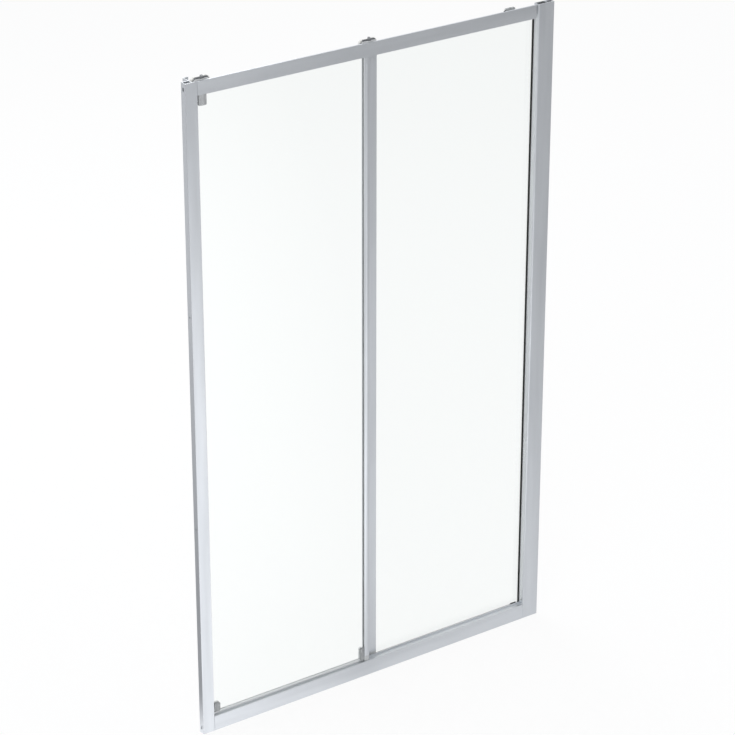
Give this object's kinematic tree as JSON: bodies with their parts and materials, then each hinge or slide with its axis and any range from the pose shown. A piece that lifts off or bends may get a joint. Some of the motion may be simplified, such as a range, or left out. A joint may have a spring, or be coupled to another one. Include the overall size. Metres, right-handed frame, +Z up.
{
  "type": "sliding shower door",
  "caption": "Framed alcove shower door: a clear pane slides on roller carriages in front of a fixed pane, in satin silver aluminium profiles.",
  "frame": {"origin": "middle of the frame's footprint on the tray: half way between the walls, in the middle of the frame's depth, on the underside of the sill", "axes": "+X along the opening to the right as seen from outside, the way the door opens; +Y into the shower; +Z up"},
  "size_m": [1.195, 0.046, 1.9611],
  "materials": {
    "silver_anodised": "satin silver anodised",
    "light_grey_plastic": "moulded, fine grain",
    "grey_plastic": "moulded, fine grain",
    "black_plastic": "moulded",
    "steel": "bright zinc plated",
    "clear_glass": "clear toughened, polished edges",
    "clear_pvc": "translucent extruded",
    "black_rubber": "extruded, dull",
    "magnet_strip": "bonded magnet strip, dull",
    "grey_brush": "pile",
    "zinc_alloy": "die cast, satin silver",
    "white_nylon": "turned and moulded"
  },
  "bodies": {
    "frame": {"left_wall_channel": "silver_anodised", "right_wall_channel": "silver_anodised", "left_jamb": "silver_anodised", "right_jamb": "silver_anodised", "top_fascia": "silver_anodised", "top_track": "silver_anodised", "bottom_rail": "silver_anodised", "fixed_stile": "silver_anodised", "channel_fillers": "silver_anodised", "right_glazing_profile": "silver_anodised", "top_corner_block": "light_grey_plastic", "bottom_corner_block": "light_grey_plastic", "fascia_bracket": "light_grey_plastic", "fixed_stile_foot": "light_grey_plastic", "jamb_end_plugs": "black_plastic", "frame_screws": "steel", "adjusting_screws": "steel", "fixed_glass": "clear_glass", "fixed_stile_gasket": "clear_pvc", "jamb_gasket": "black_rubber", "track_gasket": "black_rubber", "rail_gasket": "black_rubber", "glass_wedge": "black_rubber", "setting_blocks": "black_rubber", "stop_bumper": "black_rubber", "strike_magnet": "magnet_strip", "door_stop": "grey_plastic"},
    "door": {"door_glass": "clear_glass", "door_stile": "silver_anodised", "door_stile_gasket": "clear_pvc", "door_stile_cap": "light_grey_plastic", "door_stile_foot": "light_grey_plastic", "overlap_brush": "grey_brush", "magnet_seal": "clear_pvc", "drip_seal": "clear_pvc", "carriage_left": "light_grey_plastic", "carriage_right": "light_grey_plastic", "wheel_axles": "steel", "height_screws": "steel", "hanger_left": "zinc_alloy", "hanger_right": "zinc_alloy", "clamp_cover": "zinc_alloy", "hanger_screws": "steel", "guide_cover_left": "grey_plastic", "guide_cover_right": "grey_plastic", "guide_screws": "steel", "guide_housing_left": "light_grey_plastic", "guide_housing_right": "light_grey_plastic", "guide_spring_left": "steel", "guide_spring_right": "steel"},
    "wheel_1": {"wheel_1_tyre": "white_nylon", "wheel_1_bearing": "steel"},
    "wheel_2": {"wheel_2_tyre": "white_nylon", "wheel_2_bearing": "steel"},
    "wheel_3": {"wheel_3_tyre": "white_nylon", "wheel_3_bearing": "steel"},
    "wheel_4": {"wheel_4_tyre": "white_nylon", "wheel_4_bearing": "steel"},
    "shoe_left": {"guide_shoe_left": "white_nylon"},
    "shoe_right": {"guide_shoe_right": "white_nylon"}
  },
  "joints": [
    {"name": "door_slide", "type": "slide", "parent": "frame", "child": "door", "axis": [1, 0, 0], "range_m": [0, 0.4285]},
    {"name": "wheel_1_spin", "type": "hinge", "parent": "door", "child": "wheel_1", "pos_m": [-0.5585, -0.003, 1.94385], "axis": [0, 1, 0], "range_deg": [0, 2410]},
    {"name": "wheel_2_spin", "type": "hinge", "parent": "door", "child": "wheel_2", "pos_m": [-0.5245, -0.003, 1.94385], "axis": [0, 1, 0], "range_deg": [0, 2410]},
    {"name": "wheel_3_spin", "type": "hinge", "parent": "door", "child": "wheel_3", "pos_m": [-0.036, -0.003, 1.94385], "axis": [0, 1, 0], "range_deg": [0, 2410]},
    {"name": "wheel_4_spin", "type": "hinge", "parent": "door", "child": "wheel_4", "pos_m": [-0.002, -0.003, 1.94385], "axis": [0, 1, 0], "range_deg": [0, 2410]},
    {"name": "shoe_left_lift", "type": "slide", "parent": "door", "child": "shoe_left", "axis": [0, 0, 1], "range_m": [0, 0.006], "stiffness_N_per_m": 300, "springref_m": -0.004, "deforming": ["guide_spring_left"]},
    {"name": "shoe_right_lift", "type": "slide", "parent": "door", "child": "shoe_right", "axis": [0, 0, 1], "range_m": [0, 0.006], "stiffness_N_per_m": 300, "springref_m": -0.004, "deforming": ["guide_spring_right"]}
  ],
  "couplings": [
    {"joint": "wheel_1_spin", "follows": "door_slide", "rad_per_m": 98.039},
    {"joint": "wheel_2_spin", "follows": "door_slide", "rad_per_m": 98.039},
    {"joint": "wheel_3_spin", "follows": "door_slide", "rad_per_m": 98.039},
    {"joint": "wheel_4_spin", "follows": "door_slide", "rad_per_m": 98.039}
  ]
}
